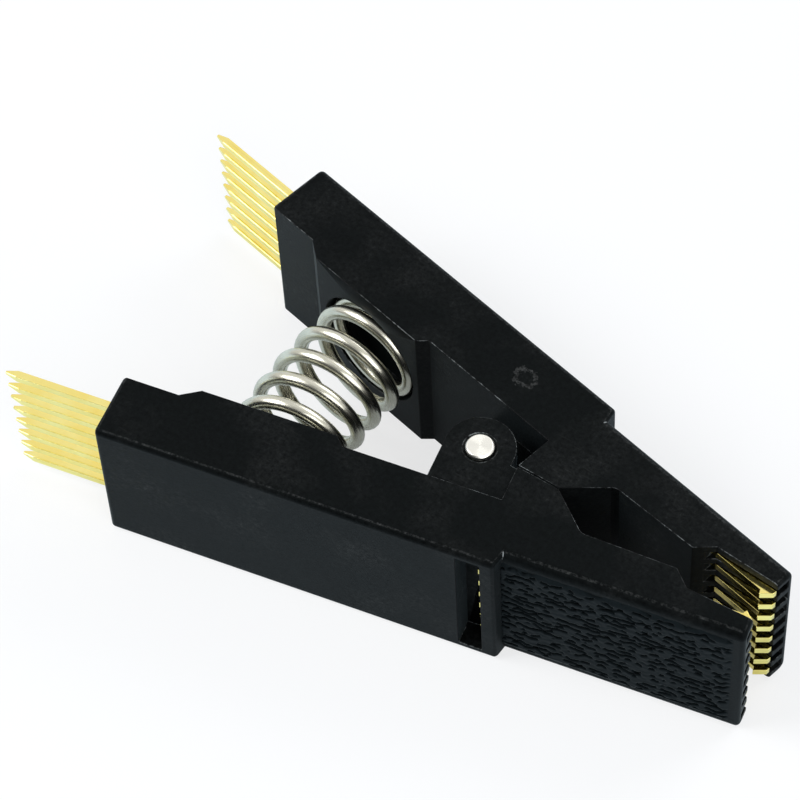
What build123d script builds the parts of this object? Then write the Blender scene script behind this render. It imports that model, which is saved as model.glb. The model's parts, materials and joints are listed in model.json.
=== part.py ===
from build123d import *
import math
import os

# Contact rows. All lengths in millimetres, all angles in degrees.
CONTACT_COUNT = 8            # contacts in each jaw
CONTACT_PITCH = 1.27         # spacing of the contacts up the jaw's height
CONTACT_THICKNESS = 0.5      # stamped strip
CONTACT_WIDTH = 0.6          # strip width inside the jaw
CHANNEL_CLEARANCE = 0.04     # strip to channel wall, all round
SIDE_MARGIN = 0.955          # outermost contact's centre to the jaw's side face

# Rear connector pins.
PIN_REACH = 7.2              # pin length behind the jaw's rear end
PIN_WIDTH = 0.5
PIN_POINT_LENGTH = 0.8       # tapered end
PIN_POINT_FLAT = 0.16

# Hinge.
REST_ANGLE = 11.77           # each jaw's outer face to the clip's centre plane, closed
EARS_IN_STACK = 4            # ears of both jaws, in turn
EAR_RADIUS = 2.2
EAR_ROOT = 0.5               # ear carried on into its own jaw's wall
EAR_RECESS = 0.3             # ear stack set in from the jaw's side faces
EAR_GAP = 0.1                # running gap between neighbouring ears
HINGE_PIN_RADIUS = 0.9
HINGE_CLEARANCE = 0.05       # radial, pin in ear bore
HINGE_PIN_SET_IN = 0.05      # pin end below the jaw's side face
HINGE_PIN_CHAMFER = 0.12
EAR_BORE_CHAMFER = 0.12
HINGE_RELIEF = 0.9           # ear rim to the opposite jaw's inner wall
RELIEF_FRONT = 2.65          # hinge axis forward to the closing block
CLOSING_GAP = 0.05           # each closing face to the centre plane

# Arm, from the hinge back to the finger pad.
ARM_WALL = 4.5               # inner relief wall to outer face
SPRING_BACK = 12.65          # hinge axis back to the spring's axis
BOSS_RISE = 0.6              # spring boss above the relief wall
BOSS_FRONT_RAMP = 0.6
BOSS_REAR_RAMP = 1.2
PAD_LENGTH = 3.7
PAD_SET_BACK = 0.2           # rear pad below the relief wall
ARM_EDGE_RADIUS = 0.4
END_EDGE_RADIUS = 0.3
STEP_CORNER_RADIUS = 0.25

# Spring and its pockets.
SPRING_DIAMETER = 7.5        # outside
SPRING_WIRE = 0.9
SPRING_WIRE_FLATS = 8        # sides of the wire's section, which is round on the real spring
SPRING_TURNS = 7.5
SPRING_END_TURNS = 1.15      # closed turns at each end
SPRING_END_PITCH = 0.95
SPRING_SEAT_GAP = 0.05
POCKET_CLEARANCE = 0.2       # radial
POCKET_RIM = 0.5             # boss wall past the pocket
POCKET_DEPTH = 1.6

# Nose, from the closing block forward.
CLOSING_LENGTH = 2.85
THROAT_RAMP = 2.35
THROAT_LENGTH = 6.05
NOSE_RAMP = 1.0
NOSE_REACH = 4.3
THROAT_WALL = 3.2            # at the throat's rear end
THROAT_TAPER = 0.2           # wall lost along the throat
NOSE_WALL = 1.95             # at the nose's rear end
NOSE_TAPER = 0.6             # wall lost along the nose
NOSE_STEP = 0.85             # nose's outer face below the arm's
NOSE_STEP_RAMP = 0.2
NOSE_EDGE_RADIUS = 0.6
THROAT_CORNER_RADIUS = 0.7
COMB_SLOT_WIDTH = 0.75
COMB_OUTER_WALL = 0.4        # left outside the comb slots
COMB_LEAD = 0.5              # comb slots start this far behind the nose

# Latch window across each jaw's outer face.
WINDOW_BACK = 1.47           # hinge axis forward to the window
WINDOW_LENGTH = 1.53
WINDOW_MARGIN = 0.6          # window end to the jaw's side face
WINDOW_DEPTH = 1.6
BAR_LENGTH = 0.9             # window to the nose step

# Contact latch and tip.
CONTACT_LINE = 2.0           # relief wall out to the strip's middle
LATCH_LENGTH = 0.6
LATCH_SET_IN = 1.3           # latch top below the outer face
LATCH_CLEARANCE = 0.05       # latch to the window's front wall
TIP_SET_BACK = 0.08          # contact tip behind the nose's end
TIP_HOOK = 0.26              # tip's reach towards the package past the strip
TIP_FACE = 0.6               # run of the 45 degree lead-in face
TIP_HOOK_RUN = 0.15

# Places worked out from the sizes above. Along the jaw u runs forward from the
# hinge axis, and v runs outward from the hinge axis to the jaw's outer face.
JAW_HEIGHT = (CONTACT_COUNT - 1) * CONTACT_PITCH + 2 * SIDE_MARGIN
MIDDLE_Z = JAW_HEIGHT / 2
RELIEF_V = EAR_RADIUS + HINGE_RELIEF
ARM_V = RELIEF_V + ARM_WALL
NOSE_V = ARM_V - NOSE_STEP
BOSS_V = RELIEF_V - BOSS_RISE
PAD_V = RELIEF_V + PAD_SET_BACK
POCKET_RADIUS = SPRING_DIAMETER / 2 + POCKET_CLEARANCE
BOSS_FRONT_U = -SPRING_BACK + POCKET_RADIUS + POCKET_RIM
BOSS_REAR_U = -SPRING_BACK - POCKET_RADIUS - POCKET_RIM
PAD_FRONT_U = BOSS_REAR_U - BOSS_REAR_RAMP
REAR_U = PAD_FRONT_U - PAD_LENGTH
PIN_TIP_U = REAR_U - PIN_REACH
CLOSING_END_U = RELIEF_FRONT + CLOSING_LENGTH
THROAT_REAR_U = CLOSING_END_U + THROAT_RAMP
THROAT_FRONT_U = THROAT_REAR_U + THROAT_LENGTH
NOSE_REAR_U = THROAT_FRONT_U + NOSE_RAMP
NOSE_END_U = NOSE_REAR_U + NOSE_REACH
WINDOW_FRONT_U = WINDOW_BACK + WINDOW_LENGTH
STEP_U = WINDOW_FRONT_U + BAR_LENGTH
CONTACT_V = RELIEF_V + CONTACT_LINE
STRIP_INNER_V = CONTACT_V - CONTACT_WIDTH / 2
STRIP_OUTER_V = CONTACT_V + CONTACT_WIDTH / 2
LATCH_FRONT_U = WINDOW_FRONT_U - LATCH_CLEARANCE
LATCH_REAR_U = LATCH_FRONT_U - LATCH_LENGTH
LATCH_V = ARM_V - LATCH_SET_IN
TIP_U = NOSE_END_U - TIP_SET_BACK
CUT = 1.0                    # how far cutting tools run past the faces they open

# The clip stands with the middle of its outline over the origin.
COS_REST = math.cos(math.radians(REST_ANGLE))
SIN_REST = math.sin(math.radians(REST_ANGLE))
FRONT_X = (NOSE_END_U - END_EDGE_RADIUS) * COS_REST + (NOSE_V - END_EDGE_RADIUS) * SIN_REST + END_EDGE_RADIUS
PIN_TIP_V = CONTACT_V - PIN_POINT_FLAT / 2
BACK_X = PIN_TIP_U * COS_REST + PIN_TIP_V * SIN_REST
HINGE_X = -(FRONT_X + BACK_X) / 2


def closing_v(u):
    """Distance out from the hinge axis of the closing face at u."""
    return (u * SIN_REST + CLOSING_GAP) / COS_REST


def outline(points):
    """Closed face in a jaw's plan from (u, v) corners."""
    return make_face(Polyline([(u, -v) for u, v in points], close=True))


def block(u0, u1, v0, v1, z0, z1):
    """Box between two places along, across and up a jaw."""
    return Pos(u0, -v1, z0) * Box(u1 - u0, v1 - v0, z1 - z0, align=(Align.MIN,) * 3)


def contact_levels():
    """Heights of the contacts' middles up the jaw."""
    return [SIDE_MARGIN + i * CONTACT_PITCH for i in range(CONTACT_COUNT)]


def ear_levels():
    """Lower and upper faces of the ears on one jaw: every second place in the stack."""
    stack = JAW_HEIGHT - 2 * EAR_RECESS - (EARS_IN_STACK - 1) * EAR_GAP
    height = stack / EARS_IN_STACK
    bottoms = [EAR_RECESS + i * (height + EAR_GAP) for i in range(1, EARS_IN_STACK, 2)]
    return [(bottom, bottom + height) for bottom in bottoms]


def jaw_blank():
    """Lever moulding: arm, spring boss, hinge relief, closing block, throat and nose."""
    plan = outline([
        (REAR_U, PAD_V), (PAD_FRONT_U, PAD_V),
        (BOSS_REAR_U, BOSS_V), (BOSS_FRONT_U, BOSS_V),
        (BOSS_FRONT_U + BOSS_FRONT_RAMP, RELIEF_V), (RELIEF_FRONT, RELIEF_V),
        (RELIEF_FRONT, closing_v(RELIEF_FRONT)), (CLOSING_END_U, closing_v(CLOSING_END_U)),
        (THROAT_REAR_U, NOSE_V - THROAT_WALL), (THROAT_FRONT_U, NOSE_V - THROAT_WALL + THROAT_TAPER),
        (NOSE_REAR_U, NOSE_V - NOSE_WALL), (NOSE_END_U, NOSE_V - NOSE_WALL + NOSE_TAPER),
        (NOSE_END_U, NOSE_V), (STEP_U + NOSE_STEP_RAMP, NOSE_V),
        (STEP_U, ARM_V), (REAR_U, ARM_V),
    ])
    blank = extrude(plan, JAW_HEIGHT)
    uprights = blank.edges().filter_by(Axis.Z)
    throat_corner = uprights.sort_by_distance((THROAT_REAR_U, THROAT_WALL - NOSE_V, MIDDLE_Z))[0]
    blank = fillet(throat_corner, THROAT_CORNER_RADIUS)
    arm_edges = blank.edges().filter_by(Axis.X).group_by(Axis.Y)[0]
    blank = fillet(arm_edges, ARM_EDGE_RADIUS)
    nose_edges = [
        edge for edge in blank.edges().filter_by(Axis.X)
        if abs(edge.center().Y + NOSE_V) < NOSE_STEP / 2 and edge.center().X > STEP_U
    ]
    blank = fillet(nose_edges, NOSE_EDGE_RADIUS)
    rear_rim = blank.faces().sort_by(Axis.X)[0].edges()
    blank = fillet(rear_rim, END_EDGE_RADIUS)
    nose_rim = blank.faces().sort_by(Axis.X)[-1].edges().sort_by(Axis.Y)[:-1]
    blank = fillet(nose_rim, END_EDGE_RADIUS)
    step_corner = blank.edges().filter_by(Axis.Z).sort_by_distance((STEP_U, -ARM_V, MIDDLE_Z))[0]
    return fillet(step_corner, STEP_CORNER_RADIUS)


def hinge_ears():
    """Two ears on one jaw, standing across the hinge axis between the other jaw's two."""
    root = RELIEF_V + EAR_ROOT
    front = RELIEF_FRONT + EAR_ROOT
    tab = outline([
        (-EAR_RADIUS, 0), (-EAR_RADIUS, root), (front, root),
        (front, closing_v(front)), (EAR_RADIUS, closing_v(EAR_RADIUS)), (EAR_RADIUS, 0),
    ])
    plan = tab + Circle(EAR_RADIUS)
    ears = []
    for bottom, top in ear_levels():
        ear = Pos(0, 0, bottom) * extrude(plan, top - bottom)
        bore = Pos(0, 0, bottom) * Cylinder(
            HINGE_PIN_RADIUS + HINGE_CLEARANCE, top - bottom, align=(Align.CENTER, Align.CENTER, Align.MIN))
        ear = ear - bore
        mouths = ear.edges().filter_by(GeomType.CIRCLE).filter_by(
            lambda edge: edge.radius < EAR_RADIUS - HINGE_CLEARANCE)
        ears.append(chamfer(mouths, EAR_BORE_CHAMFER))
    return ears


def spring_pocket():
    """Round blind seat for one end of the spring, sunk square into the boss."""
    seat = Plane(origin=(-SPRING_BACK, -BOSS_V - POCKET_DEPTH, MIDDLE_Z), z_dir=(0, 1, 0))
    return seat * Cylinder(
        POCKET_RADIUS, POCKET_DEPTH + CUT, align=(Align.CENTER, Align.CENTER, Align.MIN))


def contact_room(z):
    """Channel, latch slit and comb slot for one contact at height z."""
    half = CONTACT_THICKNESS / 2 + CHANNEL_CLEARANCE
    channel = block(
        REAR_U - CUT, NOSE_REAR_U, STRIP_INNER_V - CHANNEL_CLEARANCE, STRIP_OUTER_V + CHANNEL_CLEARANCE,
        z - half, z + half)
    slit = block(
        LATCH_REAR_U - CHANNEL_CLEARANCE, LATCH_FRONT_U + CHANNEL_CLEARANCE,
        CONTACT_V, ARM_V - WINDOW_DEPTH + CHANNEL_CLEARANCE, z - half, z + half)
    comb = block(
        NOSE_REAR_U - COMB_LEAD, NOSE_END_U + CUT, STRIP_INNER_V - TIP_HOOK - CUT, NOSE_V - COMB_OUTER_WALL,
        z - COMB_SLOT_WIDTH / 2, z + COMB_SLOT_WIDTH / 2)
    return [channel, slit, comb]


def jaw():
    """One lever moulding with its ears, as it lies in plan with the hinge axis at the origin."""
    window = block(
        WINDOW_BACK, WINDOW_FRONT_U, ARM_V - WINDOW_DEPTH, ARM_V + CUT,
        WINDOW_MARGIN, JAW_HEIGHT - WINDOW_MARGIN)
    tools = [window, spring_pocket()]
    for z in contact_levels():
        tools += contact_room(z)
    body = jaw_blank()
    for ear in hinge_ears():
        body = body + ear
    return body.cut(*tools)


def contact(z):
    """Stamped strip: pointed connector pin, latch in the window, hooked tip in the nose comb."""
    pin_inner = CONTACT_V - PIN_WIDTH / 2
    pin_outer = CONTACT_V + PIN_WIDTH / 2
    point_u = PIN_TIP_U + PIN_POINT_LENGTH
    hook_u = TIP_U - TIP_FACE
    hook_v = STRIP_INNER_V - TIP_HOOK
    plan = outline([
        (PIN_TIP_U, CONTACT_V - PIN_POINT_FLAT / 2), (point_u, pin_inner),
        (REAR_U, pin_inner), (REAR_U, STRIP_INNER_V),
        (hook_u - TIP_HOOK_RUN, STRIP_INNER_V), (hook_u, hook_v), (TIP_U, hook_v + TIP_FACE),
        (TIP_U, STRIP_OUTER_V), (LATCH_FRONT_U, STRIP_OUTER_V), (LATCH_FRONT_U, LATCH_V),
        (LATCH_REAR_U, LATCH_V), (LATCH_REAR_U, STRIP_OUTER_V),
        (REAR_U, STRIP_OUTER_V), (REAR_U, pin_outer),
        (point_u, pin_outer), (PIN_TIP_U, CONTACT_V + PIN_POINT_FLAT / 2),
    ])
    half = CONTACT_THICKNESS / 2
    flat = PIN_POINT_FLAT / 2
    strip = Pos(0, 0, z - half) * extrude(plan, CONTACT_THICKNESS)
    side = make_face(Plane.XZ * Polyline([
        (PIN_TIP_U, z - flat), (point_u, z - half), (NOSE_END_U, z - half),
        (NOSE_END_U, z + half), (point_u, z + half), (PIN_TIP_U, z + flat),
    ], close=True))
    return strip & extrude(side, ARM_V + CUT, both=True)


def spring_point(turn):
    """Centre of the wire after so many turns, on an axis that bows between the tilted seats."""
    seat_v = BOSS_V + POCKET_DEPTH - SPRING_SEAT_GAP
    seat_x = -SPRING_BACK * COS_REST + seat_v * SIN_REST
    seat_y = SPRING_BACK * SIN_REST + seat_v * COS_REST
    bow = seat_y / SIN_REST
    length = 2 * math.radians(REST_ANGLE) * bow - SPRING_WIRE
    active_turns = SPRING_TURNS - 2 * SPRING_END_TURNS
    active_pitch = (length - 2 * SPRING_END_TURNS * SPRING_END_PITCH) / active_turns
    from_middle = turn - SPRING_TURNS / 2
    active = max(-active_turns / 2, min(active_turns / 2, from_middle))
    lean = (active * active_pitch + (from_middle - active) * SPRING_END_PITCH) / bow
    swing = 2 * math.pi * turn
    radius = (SPRING_DIAMETER - SPRING_WIRE) / 2
    across = bow + radius * math.cos(swing)
    centre_x = seat_x + bow * COS_REST
    return Vector(
        centre_x - across * math.cos(lean),
        across * math.sin(lean),
        MIDDLE_Z + radius * math.sin(swing),
    )


def spring():
    """Right-hand coil of half turns, each a bent length of wire upright where it meets the next."""
    skin = []
    facing = 0
    up = Vector(0, 0, 1)
    half_turns = round(SPRING_TURNS * 2)
    for number in range(half_turns):
        start = spring_point(number / 2)
        end = spring_point((number + 1) / 2)
        over_the_top = number % 2 == 0
        sideways = up.cross(end - start) if over_the_top else (end - start).cross(up)
        section = Pos(start) * Rot(0, 0, facing) * RegularPolygon(SPRING_WIRE / 2, SPRING_WIRE_FLATS)
        half_turn = revolve(section, Axis((start + end) * 0.5, sideways), 180)
        ends = half_turn.faces().filter_by(Axis.Z).sort_by_distance(start)
        skin += [face for face in half_turn.faces() if face not in ends]
        if number == 0:
            skin.append(ends[0])
        if number == half_turns - 1:
            skin.append(ends[-1])
        facing = 2 * math.degrees(math.atan2(sideways.Y, sideways.X)) - facing
    return Solid(Shell(skin))


def hinge_pin():
    pin = Pos(0, 0, MIDDLE_Z) * Cylinder(HINGE_PIN_RADIUS, JAW_HEIGHT - 2 * HINGE_PIN_SET_IN)
    return chamfer(pin.edges().filter_by(GeomType.CIRCLE), HINGE_PIN_CHAMFER)


def near(shape):
    """Places a jaw's piece on the near side of the centre plane."""
    return Pos(HINGE_X, 0, 0) * Rot(0, 0, REST_ANGLE) * shape


def far(shape):
    """Turns the same piece over to the far side: both jaws are one moulding."""
    return Pos(HINGE_X, 0, MIDDLE_Z) * Rot(180, 0, 0) * Pos(0, 0, -MIDDLE_Z) * Rot(0, 0, REST_ANGLE) * shape


def main():
    lever = jaw()
    nodes = {
        "near_jaw": near(lever),
        "far_jaw": far(lever),
        "hinge_pin": Pos(HINGE_X, 0, 0) * hinge_pin(),
        "spring": Pos(HINGE_X, 0, 0) * spring(),
    }
    for number, z in enumerate(contact_levels(), start=1):
        strip = contact(z)
        nodes[f"near_contact_{number}"] = near(strip)
        nodes[f"far_contact_{number}"] = far(strip)
    os.makedirs("parts", exist_ok=True)
    for name, shape in nodes.items():
        export_step(shape, f"parts/{name}.step")
    print("hinge x", HINGE_X, "height", JAW_HEIGHT)


main()
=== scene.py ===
import json
import math

import bmesh
import bpy
from mathutils import Matrix, Vector, noise


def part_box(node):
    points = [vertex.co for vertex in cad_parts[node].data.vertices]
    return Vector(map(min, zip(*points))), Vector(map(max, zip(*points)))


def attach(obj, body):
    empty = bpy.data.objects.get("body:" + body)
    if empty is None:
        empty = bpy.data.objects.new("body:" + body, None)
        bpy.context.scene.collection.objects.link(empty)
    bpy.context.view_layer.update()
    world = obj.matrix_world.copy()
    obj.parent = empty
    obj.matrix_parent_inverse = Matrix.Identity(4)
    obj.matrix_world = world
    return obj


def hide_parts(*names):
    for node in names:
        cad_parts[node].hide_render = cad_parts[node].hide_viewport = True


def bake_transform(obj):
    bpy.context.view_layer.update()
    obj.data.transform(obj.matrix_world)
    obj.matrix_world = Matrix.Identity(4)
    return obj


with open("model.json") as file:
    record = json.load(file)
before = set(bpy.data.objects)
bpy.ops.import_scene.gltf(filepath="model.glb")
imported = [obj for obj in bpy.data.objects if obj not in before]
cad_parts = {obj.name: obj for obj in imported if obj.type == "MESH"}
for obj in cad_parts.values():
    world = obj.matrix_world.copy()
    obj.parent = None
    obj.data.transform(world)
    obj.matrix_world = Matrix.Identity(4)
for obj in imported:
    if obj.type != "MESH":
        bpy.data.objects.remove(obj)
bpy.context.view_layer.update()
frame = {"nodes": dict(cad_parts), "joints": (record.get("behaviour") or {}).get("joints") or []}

MM = 0.001

# Hinge and jaw sizes shared with the solids, in metres.
HINGE = Vector(frame["joints"][0]["pos_m"])
JAW_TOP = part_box("near_jaw")[1][2]
REST_ANGLE = math.radians(11.77)
NOSE_FACE = 6.75 * MM            # hinge axis out to the nose's outer face
NEAR, FAR = "near_lever", "far_lever"

# Gate scar on one side face of each jaw: place along and out from the hinge axis, and half sizes.
GATE_PLACE = (-1.54 * MM, 5.34 * MM)
GATE_SCAR = (0.85 * MM, 0.7 * MM, 0.3 * MM)

# Edge rounds drawn on the solids.
JAW_EDGE = 0.038 * MM
METAL_EDGE = 0.03 * MM
EDGE_SEGMENTS = 2
EDGE_ANGLE = math.radians(35)    # edges sharper than this are rounded
FLAT_ANGLE = math.radians(0.5)   # facets nearer to level than this make one face
WELD_REACH = 0.0005 * MM

# Camera fitted to the photograph.
PHOTO_AZIMUTH = math.radians(37.825)
PHOTO_ELEVATION = math.radians(55.708)
PHOTO_ROLL = math.radians(-3.815)
PHOTO_DISTANCE = 232.13 * MM
PHOTO_AIM = HINGE + Vector((-10.341 * MM, 5.859 * MM, -HINGE.z))
PHOTO_LENS = 163.92              # millimetres, for the sensor below
PHOTO_SENSOR = 36.0
PHOTO_CLIP = 5 * MM

# Studio: shares of white, strengths, and lamps in metres and watts.
ROOM_FRONT, ROOM_BACK = -0.8, 0.1    # ray directions in Y between which the room brightens
ROOM_DARK, ROOM_BRIGHT = 0.05, 0.9
AMBIENT_STRENGTH = 0.34
TABLE_WHITE_SEEN = 0.72          # share of the table that is plain white to the eye; the rest takes shadow
TABLE_WHITE_MIRRORED = 0.22      # the same share in reflections
TABLE_HALF = 1.5
SOFTBOXES = (
    ("key_softbox", (-0.24, -0.15, 0.28), 0.22, 1.0),
    ("fill_softbox", (0.26, -0.16, 0.24), 0.26, 0.6),
    ("back_softbox", (0.10, 0.30, 0.26), 0.20, 0.48),
)


def jaw_point(body, u, v, z):
    """Place on a jaw, from lengths along, out from and up the hinge axis. The far jaw is turned over."""
    c, s = math.cos(REST_ANGLE), math.sin(REST_ANGLE)
    x, y = u * c + v * s, u * s - v * c
    if body == FAR:
        y, z = -y, JAW_TOP - z
    return Vector((HINGE.x + x, y, z))


def linear(colour):
    """Linear colour from an sRGB hex value."""
    parts = [int(colour[i:i + 2], 16) / 255 for i in (1, 3, 5)]
    return [p / 12.92 if p <= 0.04045 else ((p + 0.055) / 1.055) ** 2.4 for p in parts] + [1.0]


def add(tree, kind, inputs=None, **settings):
    """Adds a node with its settings; an input that is a socket is linked, any other is its value."""
    made = tree.nodes.new(kind)
    for name, value in settings.items():
        setattr(made, name, value)
    for name, value in (inputs or {}).items():
        if isinstance(value, bpy.types.NodeSocket):
            tree.links.new(value, made.inputs[name])
        else:
            made.inputs[name].default_value = value
    return made


def new_material(name):
    material = bpy.data.materials.new(name)
    material.use_nodes = True
    material.node_tree.nodes.clear()
    return material, material.node_tree


def close(tree, shader):
    """Sends a shader to the material's output."""
    add(tree, "ShaderNodeOutputMaterial", {"Surface": shader.outputs[0]})


def per_mm(size_mm):
    """Noise scale whose features are about this many millimetres."""
    return 1 / (size_mm * MM)


def levelness(tree):
    """One on faces that lie flat, nought on upright ones, between the two on rounded edges."""
    facing = add(tree, "ShaderNodeSeparateXYZ", {
        0: add(tree, "ShaderNodeNewGeometry").outputs["Normal"]})
    return add(tree, "ShaderNodeMath", {0: facing.outputs["Z"]}, operation="ABSOLUTE").outputs[0]


def handling_marks(tree, place, patches, flecks, fleck):
    """Fibre flecks, long scuffs and a fine haze, in worn patches only."""
    worn = add(tree, "ShaderNodeMapRange", {"Value": patches, "From Min": 0.45, "From Max": 0.72})
    long_way = add(tree, "ShaderNodeMapping", {
        "Vector": place, "Rotation": (0.0, 0.0, 0.9), "Scale": (0.1, 1.0, 1.0)})
    scuffs = add(tree, "ShaderNodeTexNoise", {
        "Vector": long_way.outputs[0], "Scale": per_mm(0.16), "Detail": 4.0})
    scuff = add(tree, "ShaderNodeMapRange", {
        "Value": scuffs.outputs["Fac"], "From Min": 0.62, "From Max": 0.9})
    haze = add(tree, "ShaderNodeMapRange", {
        "Value": flecks, "From Min": 0.36, "From Max": 0.72, "To Max": 0.35})
    marks = add(tree, "ShaderNodeMath", {0: fleck, 1: scuff.outputs[0]}, operation="MAXIMUM")
    marks = add(tree, "ShaderNodeMath", {0: marks.outputs[0], 1: haze.outputs[0]}, operation="MAXIMUM")
    marks = add(tree, "ShaderNodeMath", {0: marks.outputs[0], 1: worn.outputs[0]}, operation="MULTIPLY")
    return marks.outputs[0]


def painted_rim_highlight(tree, flecks):
    """The part of a rounded edge next to a side face, pale as a painted highlight, broken in places."""
    # Painted highlight: a pale band where the rounded face lies nearly level, as where a lamp catches it.
    rim = add(tree, "ShaderNodeMath", {0: levelness(tree), 1: 0.93, 2: 0.05}, operation="COMPARE")
    broken_highlight = add(tree, "ShaderNodeMapRange", {"Value": flecks, "From Min": 0.45, "From Max": 0.72})
    rim = add(tree, "ShaderNodeMath", {0: rim.outputs[0], 1: broken_highlight.outputs[0]}, operation="MULTIPLY")
    return rim.outputs[0]


def gate_scar(tree, place, gate, flecks, fleck):
    """Ragged ring and flecked middle where the gate was broken off."""
    centre, turn = gate
    at_gate = add(tree, "ShaderNodeMapping", {
        "Vector": place, "Location": centre, "Rotation": (0.0, 0.0, turn), "Scale": GATE_SCAR},
        vector_type="TEXTURE")
    reach = add(tree, "ShaderNodeVectorMath", {0: at_gate.outputs[0]}, operation="LENGTH")
    tears = add(tree, "ShaderNodeTexNoise", {
        "Vector": place, "Scale": per_mm(0.4), "Detail": 6.0, "Roughness": 0.7})
    ragged = add(tree, "ShaderNodeMath", {0: tears.outputs["Fac"], 1: 1.6, 2: reach.outputs["Value"]},
                 operation="MULTIPLY_ADD")
    ring = add(tree, "ShaderNodeMath", {0: ragged.outputs[0], 1: 1.6, 2: 0.16}, operation="COMPARE")
    broken = add(tree, "ShaderNodeMapRange", {"Value": flecks, "From Min": 0.4, "From Max": 0.62})
    ring = add(tree, "ShaderNodeMath", {0: ring.outputs[0], 1: broken.outputs[0]}, operation="MULTIPLY")
    inside = add(tree, "ShaderNodeMapRange", {
        "Value": ragged.outputs[0], "From Min": 1.7, "From Max": 1.3, "To Max": 0.45})
    torn = add(tree, "ShaderNodeMath", {0: inside.outputs[0], 1: fleck}, operation="MULTIPLY")
    torn = add(tree, "ShaderNodeMath", {0: torn.outputs[0], 1: ring.outputs[0]}, operation="MAXIMUM")
    return torn.outputs[0]


def moulded_pbt(name, gate):
    """Glass-filled PBT as moulded: near black and matt, fine eroded grain, faint fibre flecks and scuffs,
    and the ragged scar where the gate was broken off; a painted highlight runs along the edge rounds next
    to the side faces."""
    material, tree = new_material(name)
    place = add(tree, "ShaderNodeTexCoord").outputs["Object"]
    # The eroded grain is about 0.05 mm on the real part; it is drawn at 0.11 mm so that it shows.
    grain = add(tree, "ShaderNodeTexNoise", {"Vector": place, "Scale": per_mm(0.11), "Detail": 3.0})
    patches = add(tree, "ShaderNodeTexNoise", {
        "Vector": place, "Scale": per_mm(4.5), "Detail": 4.0}).outputs["Fac"]
    flecks = add(tree, "ShaderNodeTexNoise", {
        "Vector": place, "Scale": per_mm(0.3), "Detail": 6.0, "Roughness": 0.75}).outputs["Fac"]
    fleck = add(tree, "ShaderNodeMapRange", {
        "Value": flecks, "From Min": 0.54, "From Max": 0.8}).outputs[0]
    marks = handling_marks(tree, place, patches, flecks, fleck)
    # The painted rim highlight joins the real handling marks and gate scar in one pale colour.
    for more in (painted_rim_highlight(tree, flecks), gate_scar(tree, place, gate, flecks, fleck)):
        marks = add(tree, "ShaderNodeMath", {0: marks, 1: more}, operation="MAXIMUM").outputs[0]
    dusty = add(tree, "ShaderNodeMapRange", {"Value": flecks, "From Min": 0.36, "From Max": 0.66})
    shade = add(tree, "ShaderNodeMix", {
        "Factor": dusty.outputs[0], "A": linear("#030303"), "B": linear("#0c0e0e")}, data_type="RGBA")
    colour = add(tree, "ShaderNodeMix", {
        "Factor": marks, "A": shade.outputs["Result"], "B": linear("#3d3d3c")}, data_type="RGBA")
    rough = add(tree, "ShaderNodeMapRange", {"Value": patches, "To Min": 0.42, "To Max": 0.56})
    height = add(tree, "ShaderNodeMath", {0: marks, 1: 1.6, 2: grain.outputs["Fac"]},
                 operation="MULTIPLY_ADD")
    bump = add(tree, "ShaderNodeBump", {
        "Height": height.outputs[0], "Strength": 0.55, "Distance": 0.018 * MM})
    close(tree, add(tree, "ShaderNodeBsdfPrincipled", {
        "Base Color": colour.outputs["Result"], "Roughness": rough.outputs[0], "Normal": bump.outputs[0],
        "Specular IOR Level": 0.07, "Specular Tint": linear("#d8ecf0"), "Sheen Weight": 0.14,
        "Sheen Roughness": 0.3, "Sheen Tint": linear("#cfe6ee")}))
    return material


def pbt_edge_wear_and_painted_highlight():
    """Sharp edges of the moulding's side faces: a thin broken grey line, partly wear rubbed pale where it
    is handled and laid down, partly a painted highlight that is paler where the edge round faces up. Edges
    between upright faces stay black."""
    material, tree = new_material("glass_filled_pbt_edge_wear_and_painted_highlight")
    place = add(tree, "ShaderNodeTexCoord").outputs["Object"]
    breaks = add(tree, "ShaderNodeTexNoise", {
        "Vector": place, "Scale": per_mm(0.3), "Detail": 5.0, "Roughness": 0.7})
    wear_and_highlight_line = add(tree, "ShaderNodeMapRange", {
        "Value": breaks.outputs["Fac"], "From Min": 0.44, "From Max": 0.66})
    # Painted highlight: the line is paler where the edge round faces up, where light falls on it.
    painted_highlight_facing_up = add(tree, "ShaderNodeMapRange", {"Value": levelness(tree), "From Min": 0.2, "From Max": 0.6})
    spots = add(tree, "ShaderNodeTexNoise", {"Vector": place, "Scale": per_mm(2.6), "Detail": 2.0})
    spot = add(tree, "ShaderNodeMapRange", {
        "Value": spots.outputs["Fac"], "From Min": 0.4, "From Max": 0.6})
    handled_and_highlit = add(tree, "ShaderNodeMath", {0: painted_highlight_facing_up.outputs[0], 1: spot.outputs[0]}, operation="MULTIPLY")
    wear_and_highlight_line = add(tree, "ShaderNodeMath", {0: wear_and_highlight_line.outputs[0], 1: handled_and_highlit.outputs[0]},
                 operation="MULTIPLY")
    colour = add(tree, "ShaderNodeMix", {
        "Factor": wear_and_highlight_line.outputs[0], "A": linear("#0a0b0c"), "B": linear("#9a9f9e")}, data_type="RGBA")
    close(tree, add(tree, "ShaderNodeBsdfPrincipled", {
        "Base Color": colour.outputs["Result"], "Roughness": 0.5, "Specular IOR Level": 0.1}))
    return material


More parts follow.
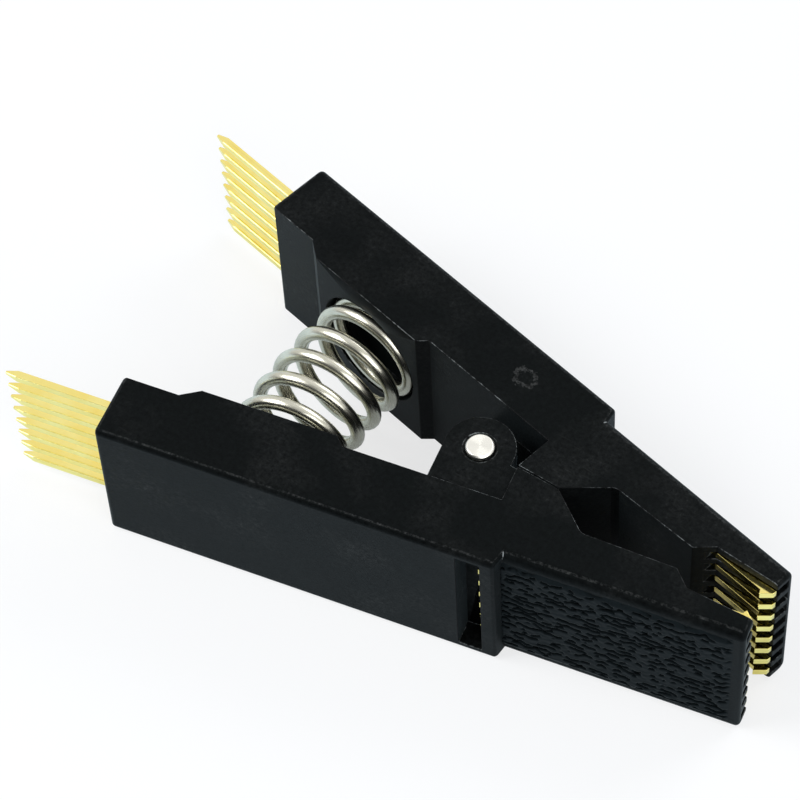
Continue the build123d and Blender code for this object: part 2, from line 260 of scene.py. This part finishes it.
def grip_pbt():
    """The same moulding where the tool was etched for grip: smooth slate lands, and black painted shade in
    the folds.
    """
    material, tree = new_material("glass_filled_pbt_etched_grip")
    place = add(tree, "ShaderNodeTexCoord").outputs["Object"]
    grain = add(tree, "ShaderNodeTexNoise", {"Vector": place, "Scale": per_mm(0.15), "Detail": 3.0})
    rise = add(tree, "ShaderNodeAttribute", attribute_name="rise").outputs["Fac"]
    land = add(tree, "ShaderNodeMapRange", {"Value": rise, "From Min": 0.35, "From Max": 1.0})
    slate = add(tree, "ShaderNodeMix", {
        "Factor": grain.outputs["Fac"], "A": linear("#0d1011"), "B": linear("#161b1d")}, data_type="RGBA")
    # Painted shade: the folds of the relief are coloured black by how low they lie, the raised lands slate.
    colour = add(tree, "ShaderNodeMix", {
        "Factor": land.outputs[0], "A": linear("#020202"), "B": slate.outputs["Result"]}, data_type="RGBA")
    rough = add(tree, "ShaderNodeMapRange", {
        "Value": grain.outputs["Fac"], "To Min": 0.38, "To Max": 0.5})
    close(tree, add(tree, "ShaderNodeBsdfPrincipled", {
        "Base Color": colour.outputs["Result"], "Roughness": rough.outputs[0], "Specular IOR Level": 0.05,
        "Specular Tint": linear("#c6e6f0")}))
    return material


def plated_gold():
    """Gold flash over a stamped copper alloy strip: pale bright gold with faint rolling lines."""
    material, tree = new_material("plated_gold_strip")
    place = add(tree, "ShaderNodeTexCoord").outputs["Object"]
    stretched = add(tree, "ShaderNodeMapping", {"Vector": place, "Scale": (0.05, 1.0, 1.0)})
    # Rolling lines of about 0.02 mm, drawn at 0.08 mm so that they show.
    lines = add(tree, "ShaderNodeTexNoise", {
        "Vector": stretched.outputs[0], "Scale": per_mm(0.08), "Detail": 2.0})
    tone = add(tree, "ShaderNodeTexNoise", {"Vector": place, "Scale": per_mm(1.6), "Detail": 2.0})
    colour = add(tree, "ShaderNodeMix", {
        "Factor": tone.outputs["Fac"], "A": linear("#fbdd6a"), "B": linear("#fff7aa")}, data_type="RGBA")
    rough = add(tree, "ShaderNodeMapRange", {
        "Value": lines.outputs["Fac"], "To Min": 0.07, "To Max": 0.16})
    close(tree, add(tree, "ShaderNodeBsdfPrincipled", {
        "Base Color": colour.outputs["Result"], "Metallic": 1.0, "Roughness": rough.outputs[0]}))
    return material


def drawn_spring_steel():
    """Hard-drawn spring wire: warm grey steel with fine die lines along the wire."""
    material, tree = new_material("drawn_spring_steel")
    wire = add(tree, "ShaderNodeUVMap", uv_map="wire").outputs[0]
    stretched = add(tree, "ShaderNodeMapping", {"Vector": wire, "Scale": (0.03, 1.0, 1.0)})
    # Die lines are finer than 0.02 mm; they are drawn at 0.06 mm so that they show.
    lines = add(tree, "ShaderNodeTexNoise", {
        "Vector": stretched.outputs[0], "Scale": per_mm(0.06), "Detail": 3.0})
    tone = add(tree, "ShaderNodeTexNoise", {"Vector": wire, "Scale": per_mm(1.8), "Detail": 3.0})
    colour = add(tree, "ShaderNodeMix", {
        "Factor": tone.outputs["Fac"], "A": linear("#b4b2a2"), "B": linear("#e9e7d8")}, data_type="RGBA")
    rough = add(tree, "ShaderNodeMapRange", {
        "Value": lines.outputs["Fac"], "To Min": 0.17, "To Max": 0.36})
    bump = add(tree, "ShaderNodeBump", {
        "Height": lines.outputs["Fac"], "Strength": 0.3, "Distance": 0.01 * MM})
    close(tree, add(tree, "ShaderNodeBsdfPrincipled", {
        "Base Color": colour.outputs["Result"], "Metallic": 1.0, "Roughness": rough.outputs[0],
        "Normal": bump.outputs[0]}))
    return material


def turned_steel():
    """Turned and faced steel pin: bright, with rings about its axis that draw out a cone of sheen."""
    material, tree = new_material("turned_steel_pin")
    place = add(tree, "ShaderNodeTexCoord").outputs["Object"]
    centred = add(tree, "ShaderNodeVectorMath", {0: place, 1: (HINGE.x, HINGE.y, 0.0)},
                  operation="SUBTRACT")
    flat = add(tree, "ShaderNodeMapping", {"Vector": centred.outputs[0], "Scale": (1.0, 1.0, 0.0)})
    out = add(tree, "ShaderNodeVectorMath", {0: flat.outputs[0]}, operation="LENGTH")
    # Facing marks of about 0.02 mm, drawn at 0.07 mm so that they show.
    ring = add(tree, "ShaderNodeTexNoise", {
        "W": out.outputs["Value"], "Scale": per_mm(0.07), "Detail": 2.0}, noise_dimensions="1D")
    turn = add(tree, "ShaderNodeTangent", direction_type="RADIAL", axis="Z")
    rough = add(tree, "ShaderNodeMapRange", {
        "Value": ring.outputs["Fac"], "To Min": 0.22, "To Max": 0.4})
    bump = add(tree, "ShaderNodeBump", {
        "Height": ring.outputs["Fac"], "Strength": 0.3, "Distance": 0.008 * MM})
    close(tree, add(tree, "ShaderNodeBsdfPrincipled", {
        "Base Color": linear("#faf8ef"), "Metallic": 1.0, "Roughness": rough.outputs[0], "Anisotropic": 0.7,
        "Tangent": turn.outputs[0], "Normal": bump.outputs[0]}))
    return material


def mesh_piece(name, verts, faces, material):
    mesh = bpy.data.meshes.new(name)
    mesh.from_pydata(verts, [], faces)
    mesh.update()
    mesh.materials.append(material)
    piece = bpy.data.objects.new(name, mesh)
    bpy.context.scene.collection.objects.link(piece)
    return piece


def smooth_step(low, high, value):
    t = max(0.0, min(1.0, (value - low) / (high - low)))
    return t * t * (3 - 2 * t)


# Grip panel moulded into each nose's outer face, in metres from the hinge axis.
GRIP_REAR, GRIP_FRONT = 4.06 * MM, 18.6 * MM
GRIP_MARGIN = 0.65 * MM          # plain strip along the nose's long edges
GRIP_FADE = 0.55 * MM            # over which the relief runs out, but not at the nose step
GRIP_STEP = 0.06 * MM            # mesh spacing
GRIP_RELIEF = 0.17 * MM
GRIP_BED = 0.01 * MM             # floor of the relief below the nose's face
GRIP_SINK = 0.12 * MM            # back of the panel inside the moulding

# Folds of the grip's relief, in rows along the nose, and the land between them.
FOLD_SPACING = 0.4 * MM
FOLD_WIDTH = 0.18 * MM
FOLD_FLOOR, FOLD_BRINK = 0.15 * FOLD_WIDTH, 0.75 * FOLD_WIDTH    # out from a fold's middle
FOLD_LENGTH = 0.5 * MM
FOLD_GONE, FOLD_FULL = -0.2, 0.06    # noise levels between which a fold deepens
FOLD_ROWS = 2                    # rows to either side that can wander to a place
FOLD_SWAY = 0.24 * MM
SWAY_LONG, SWAY_SHORT = 0.8 * MM, 0.35 * MM
SWAY_SHORT_SHARE = 0.6
LAND_RELIEF = 0.12               # share of the whole relief
LAND_LENGTH, LAND_HEIGHT = 0.4 * MM, 0.3 * MM

# Where each use reads the noise: step from row to row, and level.
SWAY_LONG_DRAW = 3.7, 1.3
SWAY_SHORT_DRAW = 5.1, 6.4
FOLD_DRAW = 7.9, 4.6
LAND_LEVEL = 2.0


def row_noise(u, length, row, draw):
    """Noise along one row of folds, with features about this long."""
    step, level = draw
    return noise.noise((u / length, row * step, level))


def grip_height(u, z):
    """Leather-like relief: rows of short wandering folds along the nose, rounded land between them."""
    deepest = 0.0
    nearest = round(z / FOLD_SPACING)
    for row in range(nearest - FOLD_ROWS, nearest + FOLD_ROWS + 1):
        sway = FOLD_SWAY * (row_noise(u, SWAY_LONG, row, SWAY_LONG_DRAW)
                            + SWAY_SHORT_SHARE * row_noise(u, SWAY_SHORT, row, SWAY_SHORT_DRAW))
        there = smooth_step(FOLD_GONE, FOLD_FULL, row_noise(u, FOLD_LENGTH, row, FOLD_DRAW))
        off = abs(z - row * FOLD_SPACING - sway)
        deepest = max(deepest, there * (1 - smooth_step(FOLD_FLOOR, FOLD_BRINK, off)))
    land = LAND_RELIEF * noise.noise((u / LAND_LENGTH, z / LAND_HEIGHT, LAND_LEVEL))
    return 1.0 - deepest + land


def grip_face(body, columns, rows):
    """Points of the panel's outer face, column by column, and how high each stands in the relief."""
    top = JAW_TOP - GRIP_MARGIN
    verts, rises = [], []
    for i in range(columns + 1):
        u = GRIP_REAR + (GRIP_FRONT - GRIP_REAR) * i / columns
        for j in range(rows + 1):
            z = GRIP_MARGIN + (top - GRIP_MARGIN) * j / rows
            edge = min(GRIP_FRONT - u, z - GRIP_MARGIN, top - z)
            fade = smooth_step(0, GRIP_FADE, edge)
            rise = grip_height(u, z)
            rises.append(1 - fade + fade * rise)
            verts.append(jaw_point(body, u, NOSE_FACE + GRIP_RELIEF * rise * fade - GRIP_BED, z))
    return verts, rises


def grip_panel(body, material):
    """Outer face in relief, closed by a rim and a back inside the moulding."""
    columns = round((GRIP_FRONT - GRIP_REAR) / GRIP_STEP)
    rows = round((JAW_TOP - GRIP_MARGIN - GRIP_MARGIN) / GRIP_STEP)
    verts, rises = grip_face(body, columns, rows)
    faces = []
    step = rows + 1
    for i in range(columns):
        for j in range(rows):
            a = i * step + j
            faces.append((a, a + step, a + step + 1, a + 1))
    rim = [i * step for i in range(columns + 1)]
    rim += [columns * step + j for j in range(1, rows + 1)]
    rim += [i * step + rows for i in range(columns - 1, -1, -1)]
    rim += [j for j in range(rows - 1, 0, -1)]
    first = len(verts)
    inward = jaw_point(body, 0, -GRIP_SINK, 0) - jaw_point(body, 0, 0, 0)
    verts += [verts[k] + inward for k in rim]
    count = len(rim)
    for k in range(count):
        n = (k + 1) % count
        faces.append((rim[n], rim[k], first + k, first + n))
    faces.append(tuple(range(first, first + count)))
    panel = mesh_piece(body.split("_")[0] + "_grip_panel", verts, faces, material)
    solid = bmesh.new()
    solid.from_mesh(panel.data)
    bmesh.ops.recalc_face_normals(solid, faces=solid.faces)
    solid.to_mesh(panel.data)
    solid.free()
    for polygon in panel.data.polygons:
        polygon.use_smooth = len(polygon.vertices) == 4
    layer = panel.data.attributes.new("rise", "FLOAT", "POINT")
    for k, rise in enumerate(rises):
        layer.data[k].value = rise
    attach(panel, body)


# Coil between the two pockets, as in the solids.
SPRING_BACK = 12.65 * MM
SPRING_SEAT = 4.05 * MM          # hinge axis out to the wire's seat in a pocket
SPRING_DIAMETER = 7.5 * MM
SPRING_WIRE = 0.9 * MM
SPRING_TURNS = 7.5
SPRING_END_TURNS = 1.15
SPRING_END_PITCH = 0.95 * MM
RINGS_PER_TURN = 48
WIRE_SIDES = 20


def coil_point(turn):
    """Centre of the wire after so many turns, on an axis that bows between the tilted seats."""
    seat = jaw_point(FAR, -SPRING_BACK, SPRING_SEAT, 0)
    bow = seat.y / math.sin(REST_ANGLE)
    length = 2 * REST_ANGLE * bow - SPRING_WIRE
    active_turns = SPRING_TURNS - 2 * SPRING_END_TURNS
    pitch = (length - 2 * SPRING_END_TURNS * SPRING_END_PITCH) / active_turns
    from_middle = turn - SPRING_TURNS / 2
    active = max(-active_turns / 2, min(active_turns / 2, from_middle))
    lean = (active * pitch + (from_middle - active) * SPRING_END_PITCH) / bow
    swing = 2 * math.pi * turn
    radius = (SPRING_DIAMETER - SPRING_WIRE) / 2
    across = bow + radius * math.cos(swing)
    centre_x = seat.x + bow * math.cos(REST_ANGLE)
    return Vector((centre_x - across * math.cos(lean), across * math.sin(lean),
                   JAW_TOP / 2 + radius * math.sin(swing)))


def wire_skin(path):
    """Round skin of the wire along its path, and the length of wire up to each ring."""
    rings = len(path) - 1
    verts, faces, along = [], [], [0.0]
    for i, centre in enumerate(path):
        ahead = (path[min(i + 1, rings)] - path[max(i - 1, 0)]).normalized()
        axis = Vector((path[rings // 2].x, centre.y, JAW_TOP / 2))
        outward = centre - axis
        outward = (outward - ahead * outward.dot(ahead)).normalized()
        side = ahead.cross(outward)
        if i:
            along.append(along[-1] + (centre - path[i - 1]).length)
        for k in range(WIRE_SIDES):
            turn = 2 * math.pi * k / WIRE_SIDES
            verts.append(centre + (outward * math.cos(turn) + side * math.sin(turn)) * SPRING_WIRE / 2)
    for i in range(rings):
        for k in range(WIRE_SIDES):
            n = (k + 1) % WIRE_SIDES
            faces.append((i * WIRE_SIDES + k, i * WIRE_SIDES + n,
                          (i + 1) * WIRE_SIDES + n, (i + 1) * WIRE_SIDES + k))
    last = rings * WIRE_SIDES
    faces.append(tuple(range(WIRE_SIDES - 1, -1, -1)))
    faces.append(tuple(range(last, last + WIRE_SIDES)))
    return verts, faces, along


def spring_coil(material):
    """Round wire in place of the flat-sided solid."""
    rings = round(SPRING_TURNS * RINGS_PER_TURN)
    path = [coil_point(SPRING_TURNS * i / rings) for i in range(rings + 1)]
    verts, faces, along = wire_skin(path)
    coil = mesh_piece("spring_coil", verts, faces, material)
    layer = coil.data.uv_layers.new(name="wire")
    around = math.pi * SPRING_WIRE / WIRE_SIDES
    for polygon in coil.data.polygons:
        polygon.use_smooth = len(polygon.vertices) == 4
        for corner in polygon.loop_indices:
            vertex = coil.data.loops[corner].vertex_index
            layer.data[corner].uv = (along[vertex // WIRE_SIDES], (vertex % WIRE_SIDES) * around)
    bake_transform(coil)
    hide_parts("spring")


def dress_nodes(gold, pin, edge_wear_and_highlight_material):
    """CAD nodes keep their shape: welded, in whole faces, with small edge rounds and materials."""
    for name, node in frame["nodes"].items():
        if name == "spring":
            continue
        is_jaw = name.endswith("jaw")
        node.data.materials.clear()
        if is_jaw:
            body = NEAR if name.startswith("near") else FAR
            side = 1 if body == NEAR else -1
            gate = jaw_point(body, *GATE_PLACE, 0), side * REST_ANGLE
            node.data.materials.append(moulded_pbt("glass_filled_pbt_" + name, gate))
            node.data.materials.append(edge_wear_and_highlight_material)
        else:
            node.data.materials.append(pin if name == "hinge_pin" else gold)
        weld = node.modifiers.new("one_skin", "WELD")
        weld.merge_threshold = WELD_REACH
        flat = node.modifiers.new("whole_faces", "DECIMATE")
        flat.decimate_type = "DISSOLVE"
        flat.angle_limit = FLAT_ANGLE
        edge = node.modifiers.new("edge_round", "BEVEL")
        edge.width = JAW_EDGE if is_jaw else METAL_EDGE
        edge.segments = EDGE_SEGMENTS
        edge.limit_method = "ANGLE"
        edge.angle_limit = EDGE_ANGLE
        edge.use_clamp_overlap = False
        edge.material = 1 if is_jaw else -1


def seen_by_eye(tree, path):
    """One for rays from the eye, also through glass."""
    return add(tree, "ShaderNodeMath", {
        0: path.outputs["Is Camera Ray"], 1: path.outputs["Is Transmission Ray"]},
        operation="MAXIMUM").outputs[0]


def studio_room():
    """Reflections find a bright room that darkens towards the front; the eye finds white."""
    world = bpy.data.worlds.new("studio")
    bpy.context.scene.world = world
    world.use_nodes = True
    tree = world.node_tree
    tree.nodes.clear()
    path = add(tree, "ShaderNodeLightPath")
    ray = add(tree, "ShaderNodeTexCoord").outputs["Generated"]
    depth = add(tree, "ShaderNodeSeparateXYZ", {0: ray}).outputs["Y"]
    room = add(tree, "ShaderNodeMapRange", {
        "Value": depth, "From Min": ROOM_FRONT, "From Max": ROOM_BACK,
        "To Min": ROOM_DARK, "To Max": ROOM_BRIGHT})
    mirrored = add(tree, "ShaderNodeBackground", {"Color": room.outputs[0], "Strength": 1.0})
    ambient = add(tree, "ShaderNodeBackground", {
        "Color": linear("#dcedff"), "Strength": AMBIENT_STRENGTH})
    white = add(tree, "ShaderNodeBackground", {"Color": linear("#ffffff"), "Strength": 1.0})
    mixed = add(tree, "ShaderNodeMixShader", {
        0: path.outputs["Is Glossy Ray"], 1: ambient.outputs[0], 2: mirrored.outputs[0]})
    mixed = add(tree, "ShaderNodeMixShader", {
        0: seen_by_eye(tree, path), 1: mixed.outputs[0], 2: white.outputs[0]})
    add(tree, "ShaderNodeOutputWorld", {"Surface": mixed.outputs[0]})


def white_table():
    """White floor that keeps the clip's shadow."""
    material, tree = new_material("white_table")
    path = add(tree, "ShaderNodeLightPath")
    share = add(tree, "ShaderNodeMath", {0: seen_by_eye(tree, path), 1: TABLE_WHITE_SEEN},
                operation="MULTIPLY")
    share = add(tree, "ShaderNodeMath", {
        0: path.outputs["Is Glossy Ray"], 1: TABLE_WHITE_MIRRORED, 2: share.outputs[0]},
        operation="MULTIPLY_ADD")
    # The black plastic's flanks mirror the table as blue slate, so reflections find it a little bluer.
    tone = add(tree, "ShaderNodeMix", {
        "Factor": path.outputs["Is Glossy Ray"], "A": linear("#fbfcfd"), "B": linear("#e2f2fa")},
        data_type="RGBA")
    lit = add(tree, "ShaderNodeBsdfDiffuse", {"Color": tone.outputs["Result"]})
    white = add(tree, "ShaderNodeEmission", {"Color": linear("#ffffff"), "Strength": 1.0})
    close(tree, add(tree, "ShaderNodeMixShader", {
        0: share.outputs[0], 1: lit.outputs[0], 2: white.outputs[0]}))
    corners = [(x * TABLE_HALF, y * TABLE_HALF, 0) for x, y in ((-1, -1), (1, -1), (1, 1), (-1, 1))]
    floor = mesh_piece("table", corners, [(0, 1, 2, 3)], material)


def softboxes():
    """Lamps that face the middle of the table."""
    for name, place, size, power in SOFTBOXES:
        data = bpy.data.lights.new(name, "AREA")
        data.size = size
        data.energy = power
        lamp = bpy.data.objects.new(name, data)
        bpy.context.scene.collection.objects.link(lamp)
        lamp.location = place
        lamp.rotation_euler = (-Vector(place)).to_track_quat("-Z", "Y").to_euler()


def photo_camera():
    ca, sa = math.cos(PHOTO_AZIMUTH), math.sin(PHOTO_AZIMUTH)
    ce, se = math.cos(PHOTO_ELEVATION), math.sin(PHOTO_ELEVATION)
    back = Vector((sa * ce, -ca * ce, se))
    level = Vector((ca, sa, 0))
    upright = back.cross(level)
    cr, sr = math.cos(PHOTO_ROLL), math.sin(PHOTO_ROLL)
    right = level * cr + upright * sr
    up = upright * cr - level * sr
    data = bpy.data.cameras.new("photo_camera")
    data.lens = PHOTO_LENS
    data.sensor_width = PHOTO_SENSOR
    data.clip_start = PHOTO_CLIP
    camera = bpy.data.objects.new("photo_camera", data)
    bpy.context.scene.collection.objects.link(camera)
    turn = Matrix((right, up, back)).transposed().to_4x4()
    camera.matrix_world = Matrix.Translation(PHOTO_AIM + back * PHOTO_DISTANCE) @ turn
    bpy.context.scene.camera = camera


def main():
    bpy.context.scene.view_settings.view_transform = "Standard"
    dress_nodes(plated_gold(), turned_steel(), pbt_edge_wear_and_painted_highlight())
    spring_coil(drawn_spring_steel())
    grip = grip_pbt()
    for body in (NEAR, FAR):
        grip_panel(body, grip)
    studio_room()
    white_table()
    softboxes()
    photo_camera()


main()
